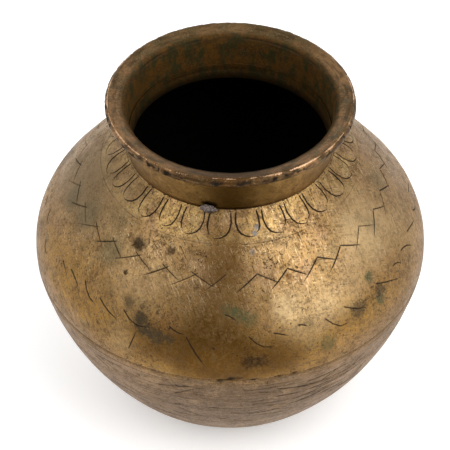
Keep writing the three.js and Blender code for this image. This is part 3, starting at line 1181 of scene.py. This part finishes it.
# %% Layers of old brass
BRASS_NOISE = ((42, 3, 0.5), (9, 5, 0.65), (2.2, 4, 0.7), (0.9, 2, 0.6))
LEVEL_RUN = 1 / (60 * MM)
LEVEL_FINE = 1 / (1.0 * MM)
BRASS_RELIEF = 0.16 * MM


class Coat:
    """A finish as it is built up: four noises from coarse to fine, and the layers so far."""

    def __init__(self, name, seed, sizes):
        self.net = Net(bpy.data.materials.new(name))
        self.clouds, self.blots, self.mottle, self.grain = (
            self.net.noise(size * MM, detail, rough, seed + k)
            for k, (size, detail, rough) in enumerate(sizes))

    def lay(self, paint, share):
        self.colour = self.net.mix(self.colour, paint, share)


def on_face(bearing, radius):
    """The point of the body seen at a bearing in degrees, `radius` millimetres from the axis."""
    run = face_run[np.argsort(face_run[:, 0])]
    height = np.interp(radius * MM, run[:, 0], run[:, 1])
    turn = math.radians(bearing)
    return (radius * MM * math.sin(turn), -radius * MM * math.cos(turn), height)


def hair_scratches(net, seed, size=0.75 * MM, run=22 * MM):
    """Fine streaks in three directions, 0 where there are none."""
    total = 0.0
    for k, angles in enumerate(((0.4, 0.3, 0.5), (1.2, -0.6, 2.1), (-0.7, 0.9, -1.1))):
        at = net.turned_by(angles, (1 / run, 1 / size, 1 / size))
        total = net.over(net.noise(1.0, 1.0, 0.4, seed + k, at), 0.62, 0.71) + total
    return total


def patch(net, ragged, bearing, radius, size, soft):
    """1 inside a spot on the body, 0 outside; a soft one fades slowly and hardly strays."""
    off = net.from_point(on_face(bearing, radius)) * (1 / (size * MM))
    if soft:
        return net.over(off + ragged * 0.2, 1.45, 0.25)
    return net.over(off + ragged, 1.35, 0.45)


def shoulder_tones(coat, rise, aside):
    """Yellower above the scribed ring, duller low on the flanks."""
    net = coat.net
    ring_height = on_face(0, RING_RADIUS)[2]
    low_edge = net.over(rise, widest + 15 * MM, widest - 2 * MM)
    coat.lay(FLANK, low_edge * net.over(aside, 35 * MM, 100 * MM) * 0.75)
    band = net.over(rise, ring_height, ring_height + 1.5 * MM) * net.over(coat.blots, 0.62, 0.42)
    coat.lay(YELLOW, band * 0.8)


def tarnished(coat, shift, low_body):
    """Rosy and grey-green clouds, then the brown skin and a thin darker film."""
    net, clouds, blots, mottle = coat.net, coat.clouds, coat.blots, coat.mottle
    rose = net.noise(13 * MM, 4, 0.65, 9.0)
    coat.lay(ROSE, net.over(rose, 0.48, 0.60) * (0.6 - low_body * 0.4))
    coat.lay(GREY_GREEN, net.over(rose * 0.7 + mottle * 0.3, 0.46, 0.37) * 0.62)
    brown = net.over(clouds * 0.3 + blots * 0.4 + mottle * 0.3, 0.42 - shift, 0.60 - shift)
    coat.lay(TARNISH, brown * 0.85)
    film = net.over(mottle * 0.75 + coat.grain * 0.25, 0.46 - shift, 0.60 - shift)
    coat.lay(DEEP_TARNISH, film * 0.47)
    coat.rough = 0.38 + brown * 0.10 + film * 0.10
    coat.metal = 1.0 - film * 0.05


def worn(coat, share):
    """Bright metal where the film has worn through, in grains rather than in sheets."""
    net = coat.net
    grains = net.over(coat.grain * 0.6 + coat.mottle * 0.4, 0.47, 0.62)
    coat.lay(PALE, net.over(coat.blots, 0.64, 0.40) * grains * share)


def pinked(coat, rise, amount):
    """Grey-pink metal, where the zinc has gone; strongest below the belly seam."""
    net = coat.net
    below = net.over(rise, seam_high.z, seam_high.z - 16 * MM) * 0.30 + 0.70
    coat.lay(PINK_GREY, net.over(coat.blots * 0.6 + coat.clouds * 0.4, 0.30, 0.52) * below * amount)


def peppered(coat):
    """Fine dark pepper, and larger and rarer specks."""
    net = coat.net
    specks = net.over(net.noise(2.4 * MM, 2, 0.6, 5.0), 0.65, 0.71)
    pepper = net.over(net.noise(1.1 * MM, 2, 0.6, 6.0) + coat.blots * 0.3 - 0.15, 0.575, 0.665)
    coat.lay(DEEP_TARNISH, pepper * 0.62)
    coat.lay(DEEP_TARNISH, specks * 0.85)
    coat.rough = coat.rough + pepper * 0.12
    coat.metal = coat.metal - pepper * 0.1
    coat.relief = coat.mottle * 0.40 + coat.grain * 0.25 - pepper * 0.4 - specks * 0.4


def scratched(coat, share):
    """Pale hair scratches, most of them in scoured areas, and some dark ones over them."""
    net = coat.net
    scoured = net.over(net.noise(16 * MM, 4, 0.6, 12.0), 0.40, 0.62)
    scratches = hair_scratches(net, 11.0) * (0.25 + scoured * 0.75)
    coat.lay(PALE, scratches * share)
    coat.lay(DEEP_TARNISH, hair_scratches(net, 14.0, 0.9 * MM, 14 * MM) * 0.6)
    coat.rough = coat.rough - scratches * 0.05 + coat.grain * 0.10
    coat.relief = coat.relief + scratches * 0.12


def level_lines(coat):
    """Level scratches left by the turning stick."""
    net = coat.net
    lines = net.noise(1.0, 3, 0.7, 7.0, net.stretched(LEVEL_RUN, LEVEL_RUN, LEVEL_FINE))
    coat.lay(DEEP_TARNISH, net.over(lines, 0.48, 0.36) * 0.9)
    coat.lay(PALE, net.over(lines, 0.58, 0.70) * 0.18)
    coat.relief = coat.relief + lines * 0.9


def pitted(coat):
    """Small pits everywhere, crowded in a few zones."""
    net = coat.net
    zones = 0.0
    for bearing, radius, size in PITTED:
        zones = patch(net, 0.0, bearing, radius, size, True) + zones
    eaten = net.noise(1.7 * MM, 3, 0.7, 10.0) + net.over(zones, 0.0, 1.0) * 0.085
    eaten = net.over(eaten, 0.615, 0.68)
    coat.lay(EATEN, eaten * 0.85)
    coat.relief = coat.relief - eaten * 0.6


def spotted(coat):
    """Every kind of spot in turn, each laid over the kinds before it."""
    net, mottle, grain = coat.net, coat.mottle, coat.grain
    ragged = net.noise(5 * MM, 3, 0.65, 8.0) * 1.4 + mottle * 1.6 + grain * 0.8 - 1.9
    thin = 0.95 - net.over(mottle, 0.42, 0.62) * 0.25
    broken = 0.55 + net.over(grain * 0.5 + mottle * 0.5, 0.56, 0.44) * 0.45
    for kind, (paint, metal_left, rough_there, soft) in SPOT_KINDS.items():
        total = 0.0
        for bearing, radius, size, strength in SPOTS[kind]:
            total = patch(net, ragged, bearing, radius, size, soft) * strength + total
        where = net.over(total, 0.0, 1.0) * (thin if soft else broken)
        coat.lay(paint, where)
        coat.metal = coat.metal - where * (1 - metal_left)
        coat.rough = coat.rough + where * rough_there
        coat.relief = coat.relief + where * (mottle - 0.5) * 0.8


def inked(coat):
    """Dirt stays black and matt in whatever was cut."""
    ink = coat.net.mark("ink")
    coat.lay(BLACK, coat.net.over(ink, 0.12, 0.8) * 0.9)
    coat.metal = coat.metal - ink * 0.15
    coat.rough = coat.rough + ink * 0.3


# %% Old brass
def old_brass(name, tarnish, pink, shoulder=False, scraped=False):
    """Brass for the ornamented shoulder, for the scraped bowl, or plain for the seam."""
    coat = Coat(name, 1.0, BRASS_NOISE)
    net = coat.net
    rise = net.axis("Z")
    aside = net.from_point((0, -BELLY, seam_low.z - 20 * MM))
    low_body = 0.0 if scraped else net.over(rise, widest + 50 * MM, widest + 16 * MM)
    coat.colour = net.mix(GOLD, BELLY_GOLD, low_body)
    if shoulder:
        shoulder_tones(coat, rise, aside)
    tarnished(coat, (tarnish - 0.5) * 0.3, low_body)
    worn(coat, 0.12 if scraped else 0.42 - low_body * 0.22)
    pinked(coat, rise, pink)
    if scraped:
        flank = net.over(aside, 20 * MM, 75 * MM) * net.over(coat.blots, 0.70, 0.45)
        coat.lay(FLANK, flank * 0.85)
    peppered(coat)
    scratched(coat, 0.12 if scraped else 0.55 - low_body * 0.37)
    if scraped:
        level_lines(coat)
    if shoulder:
        pitted(coat)
        spotted(coat)
    inked(coat)
    return net.finish(coat.colour, coat.rough, coat.metal, coat.relief, BRASS_RELIEF)


body_brass = old_brass("old brass", 0.5, 0.15, shoulder=True)
bowl_brass = old_brass("scraped brass", 0.6, 0.95, scraped=True)
seam_brass = old_brass("dressed braze", 0.8, 0.6)

# %% [markdown]
# ## Inside
# Nothing scours the inside of a narrow-mouthed pot. Smoke, lime and old water leave it black and
# quite matt, and it is painted blacker still as shade, so the hollow reads as a dark hole from
# any side.

# %% Soot and painted shade
SOOT_AND_SHADE = (0.0022, 0.0018, 0.0012, 1)
ASH_AND_SHADE = (0.006, 0.0045, 0.003, 1)


def soot_and_shade():
    net = Net(bpy.data.materials.new("soot_and_shade"))
    flakes = net.noise(3 * MM, 3, 0.6, 21.0)
    dust = net.noise(14 * MM, 3, 0.6, 22.0)
    return net.finish(net.mix(SOOT_AND_SHADE, ASH_AND_SHADE, flakes), 0.86 + dust * 0.12, 0.0, flakes + dust * 0.5,
                      0.2 * MM, {"Specular IOR Level": 0.05})


inside = soot_and_shade()

# %% [markdown]
# ## Collar and lip finish
# Out of the hand's way, under the lip, the collar keeps its brown skin, and in front it is painted
# nearly black as the shade of the lip. The lip has lost its skin: the crest is rubbed to pinkish
# copper colour, because the zinc leaves first, with a painted highlight along it, and every pit is
# full of dirt. The lip is streaked and grimy round its edge, browner at the back than at the sides,
# and darker in front with painted shade. Inside the neck green and rust-brown crusts run down and
# mix, and painted shade darkens it near the rim and with depth.

# %% Collar finish
COLLAR_NOISE = ((18, 3, 0.6), (5, 4, 0.65), (1.5, 4, 0.7), (0.8, 2, 0.6))
COLLAR_RELIEF = 0.25 * MM
RUN_WIDE = 5 * MM
RUN_LONG = 11 * MM
WALL_LIGHT = (0.270, 0.154, 0.048, 1)
WALL_DARK = (0.170, 0.094, 0.028, 1)
# Painted shade: the collar's wall in front, nearly black.
WALL_FRONT_SHADE = (0.034, 0.015, 0.0015, 1)
LIP_LIGHT = (0.285, 0.160, 0.072, 1)
LIP_BROWN = (0.090, 0.048, 0.019, 1)
LIP_GREEN = (0.085, 0.080, 0.042, 1)
# Painted shade: the lip in front.
LIP_FRONT_SHADE = (0.070, 0.031, 0.007, 1)
LIP_BACK = (0.105, 0.066, 0.027, 1)
LIP_STREAK = (0.045, 0.026, 0.011, 1)
LIP_WORN = (0.30, 0.195, 0.105, 1)
CRUST_BROWN = (0.215, 0.096, 0.018, 1)
CRUST_GREEN = (0.066, 0.068, 0.022, 1)
CRUST_DARK = (0.060, 0.036, 0.011, 1)
CRUST_RED = (0.24, 0.095, 0.026, 1)
CRUST_LIME = (0.26, 0.20, 0.10, 1)
# Painted shade inside the neck: near the rim, and deeper down.
RIM_PAINTED_SHADE = (0.022, 0.013, 0.005, 1)
DEPTH_SHADE = (0.010, 0.006, 0.002, 1)
GRIME = (0.042, 0.020, 0.009, 1)
# Painted highlight on the lip's crest, over rubbed copper.
COPPER_HIGHLIGHT = (0.70, 0.46, 0.28, 1)
# Painted shade: the throat under the mouth, in front.
THROAT_SHADE = (0.008, 0.005, 0.002, 1)
SPECK = (0.035, 0.022, 0.012, 1)


def collar_wall(coat):
    """The outside of the collar, painted nearly black in front as the shade of the lip."""
    net = coat.net
    wall = net.mix(WALL_LIGHT, WALL_DARK, net.over(coat.blots, 0.36, 0.64))
    return net.mix(wall, WALL_FRONT_SHADE, net.mark("front") * 0.97)


def lip_edge(coat):
    """The rolled edge before its crest is worn, with painted shade in front."""
    net, clouds, blots, mottle = coat.net, coat.clouds, coat.blots, coat.mottle
    back = net.over(net.axis("Y"), 0.0, bead_radius)
    return net.layered(LIP_LIGHT, [
        (LIP_BROWN, net.over(clouds * 0.4 + mottle * 0.6, 0.42, 0.60)),
        (LIP_GREEN, net.over(blots * 0.6 + clouds * 0.4, 0.47, 0.58) * 0.55),
        # painted shade on the front of the lip
        (LIP_FRONT_SHADE, net.mark("front") * 0.85),
        (LIP_BACK, back * 0.55),
        (LIP_STREAK, net.mark("streak") * 0.65),
        (LIP_WORN, net.over(mottle, 0.55, 0.64) * 0.5)])


def neck_crust(coat):
    """What has grown on the inside of the neck, with painted shade near the rim and deeper down."""
    net, blots, mottle = coat.net, coat.blots, coat.mottle
    runs = net.noise(1.0, 3, 0.55, 35.0, net.stretched(1 / RUN_WIDE, 1 / RUN_WIDE, 1 / RUN_LONG))
    shade_with_depth = net.over(net.axis("Z"), foot_height + 15 * MM, foot_height)
    return net.layered(CRUST_BROWN, [
        (CRUST_GREEN, net.over(runs, 0.44, 0.60)),
        (CRUST_DARK, net.over(mottle * 0.7 + blots * 0.3, 0.44, 0.58) * 0.8),
        (CRUST_RED, net.over(coat.grain * 0.5 + blots * 0.5, 0.54, 0.63) * 0.8),
        (CRUST_LIME, net.over(mottle, 0.57, 0.66) * 0.6),
        # painted shade near the rim and with depth
        (RIM_PAINTED_SHADE, net.mark("lip") * 0.55),
        (DEPTH_SHADE, shade_with_depth * 0.95)])


def collar_finish():
    coat = Coat("collar brass", 31.0, COLLAR_NOISE)
    net, blots, grain = coat.net, coat.blots, coat.grain
    lip, rub, ink = (net.mark(m) for m in ("lip", "rub", "ink"))
    inner, throat, grime = (net.mark(m) for m in ("inner", "throat", "grime"))
    # Rubbed copper on the crest, with a painted highlight over it.
    crest_glint = net.over(rub + grain * 0.5 - grime * 0.15, 0.74, 1.02)
    specks = net.over(net.noise(1.1 * MM, 2, 0.7, 36.0), 0.60, 0.68)
    colour = net.layered(collar_wall(coat), [
        (lip_edge(coat), lip),
        (neck_crust(coat), inner * 0.95),
        (GRIME, grime * 0.8),
        (COPPER, crest_glint * 0.8),
        (COPPER_HIGHLIGHT, net.over(rub + grain, 1.05, 1.30) * 0.75),
        (BLACK, net.over(ink, 0.2, 0.8) * 0.85),
        # painted shade in the throat, in front
        (THROAT_SHADE, throat * 0.92),
        (SPECK, specks * 0.6)])
    metal = 1.0 - inner * 0.08 - ink * 0.2
    rough = 0.28 + blots * 0.10 + inner * 0.3 + lip * 0.12 + ink * 0.3 - crest_glint * 0.05
    relief = coat.mottle * 0.5 + blots * 0.4 - specks * 0.4
    return net.finish(colour, rough, metal, relief, COLLAR_RELIEF)


collar_brass = collar_finish()


# %% [markdown]
# ## Braze, solder and wire
# Braze is a little paler and pinker than the sheet it joins. Solder is tin and lead, grey with a
# faint violet bloom. The wire is out of sight and only needs the plain colour of drawn brass.

# %% Filler finishes
FILLET = (0.060, 0.036, 0.014, 1)
FILLET_DIRT = (0.018, 0.011, 0.005, 1)
SOLDER = (0.23, 0.185, 0.165, 1)
SOLDER_DIRT = (0.05, 0.035, 0.026, 1)


def filler(name, light, dark, metal_share, roughness):
    net = Net(bpy.data.materials.new(name))
    blots = net.noise(3.5 * MM, 4, 0.65, 41.0)
    grain = net.noise(0.8 * MM, 3, 0.7, 42.0)
    colour = net.mix(light, dark, net.over(blots + grain * 0.5, 0.55, 0.95))
    colour = net.mix(colour, BLACK, net.mark("ink") * 0.7)
    return net.finish(colour, roughness + grain * 0.2, metal_share - grain * 0.2,
                      blots * 0.6 + grain * 0.5, 0.25 * MM)


foot_finish = filler("neck braze", FILLET, FILLET_DIRT, 1.0, 0.42)
solder_finish = filler("solder", SOLDER, SOLDER_DIRT, 0.95, 0.42)
wire_finish = filler("drawn wire", GOLD, TARNISH, 1.0, 0.35)

# %% [markdown]
# ## Dressing the pieces
# The shells take two finishes: brass on the faces that look out and soot with painted shade on
# those that look in.
# The shoulder's upstand, which stands inside the neck, is finished like the collar round it.

# %% Give each piece its finish
def marked(mesh, name):
    """Which faces carry a mark at their first corner."""
    mark = np.zeros(len(mesh.vertices), np.float32)
    mesh.attributes[name].data.foreach_get("value", mark)
    starts = np.zeros(len(mesh.polygons), np.int32)
    mesh.polygons.foreach_get("loop_start", starts)
    corner = np.zeros(len(mesh.loops), np.int32)
    mesh.loops.foreach_get("vertex_index", corner)
    return mark[corner[starts]] > 0.5


def dress(piece, outer, extras=()):
    """One finish all over, then others on the faces that carry their mark."""
    mesh = piece.data
    mesh.materials.append(outer)
    chosen = np.zeros(len(mesh.polygons), np.int32)
    for slot, (mark, finish) in enumerate(extras, 1):
        mesh.materials.append(finish)
        chosen[marked(mesh, mark)] = slot
    mesh.polygons.foreach_set("material_index", chosen)
    print(piece.name, "faces a finish:", np.bincount(chosen).tolist())


dress(shoulder, body_brass, [("inner", inside), ("neck", collar_brass)])
dress(bowl, bowl_brass, [("inner", inside)])
dress(collar, collar_brass)
dress(core_wire, wire_finish)
dress(belly_braze, seam_brass)
dress(neck_braze, foot_finish)
dress(solder, solder_finish)

# %% [markdown]
# ## Table and light
# Metal shows its surroundings, so the light is the picture. The pot stands on a wide pale floor.
# A large soft box hangs in front to each side, the right one stronger. The scene is shown through
# the plain Standard transform, so a white floor stays white.

# %% Floor and lights
FLOOR_SIZE = 3.0
FLOOR_GLOW = 0.32
WHITE = (1, 1, 1, 1)
FLOOR_PALE = (0.90, 0.90, 0.90, 1)
FLOOR_SHADE = (0.88, 0.88, 0.88, 1)
floor_mesh = bpy.data.meshes.new("floor")
half = FLOOR_SIZE / 2
floor_mesh.from_pydata([(-half, -half, 0), (half, -half, 0), (half, half, 0), (-half, half, 0)],
                       [], [(0, 1, 2, 3)])
floor = placed("floor", floor_mesh)


def floor_finish():
    net = Net(bpy.data.materials.new("pale floor"))
    tone = net.mix(FLOOR_PALE, FLOOR_SHADE, net.noise(0.2, 3, 0.5, 51.0))
    glow = {"Emission Color": WHITE, "Emission Strength": FLOOR_GLOW}
    return net.finish(tone, 0.7, 0.0, net.noise(0.01, 2, 0.5, 52.0), 0.01 * MM, glow)


floor_mesh.materials.append(floor_finish())


def soft_box(name, bearing, elevation, distance, width, height, power):
    """A flat light aimed at the pot's middle; bearing is from the front, + to the right."""
    turn, tilt = math.radians(bearing), math.radians(elevation)
    target = Vector((0, 0, HEIGHT / 2))
    away = Vector((math.sin(turn) * math.cos(tilt), -math.cos(turn) * math.cos(tilt),
                   math.sin(tilt)))
    data = bpy.data.lights.new(name, "AREA")
    data.shape, data.size, data.size_y, data.energy = "RECTANGLE", width, height, power
    lamp = placed(name, data)
    lamp.location = target + away * distance
    lamp.rotation_mode = "QUATERNION"
    lamp.rotation_quaternion = away.to_track_quat("Z", "Y")


soft_box("left box", -58, 44, 1.5, 0.9, 1.1, 5)
soft_box("right box", 54, 46, 1.5, 1.1, 1.3, 13)
bpy.context.scene.view_settings.view_transform = "Standard"

# %% [markdown]
# ## Room
# Past the lights the room is white all round, with one dim side where the viewer stands.
# Brass shows that gap as the deep band down its front, deepened by spots of painted shade there.

# %% Room
WORLD_LIGHT = 1.0
WORLD_DIM = 0.35
DIM_TOWARD = Vector((-0.34, -1, 0.42)).normalized()


def room():
    net = Net(bpy.data.worlds.new("studio"))
    toward = net.node("ShaderNodeTexCoord", out="Generated")
    facing = net.node("ShaderNodeVectorMath", {"operation": "DOT_PRODUCT"},
                      {0: toward, 1: tuple(DIM_TOWARD)}, out="Value")
    strength = WORLD_LIGHT - net.over(facing, 0.55, 0.98) * (WORLD_LIGHT - WORLD_DIM)
    sky = net.node("ShaderNodeBackground", None, {"Color": WHITE, "Strength": strength})
    net.end("ShaderNodeOutputWorld", sky)
    bpy.context.scene.world = net.owner


room()
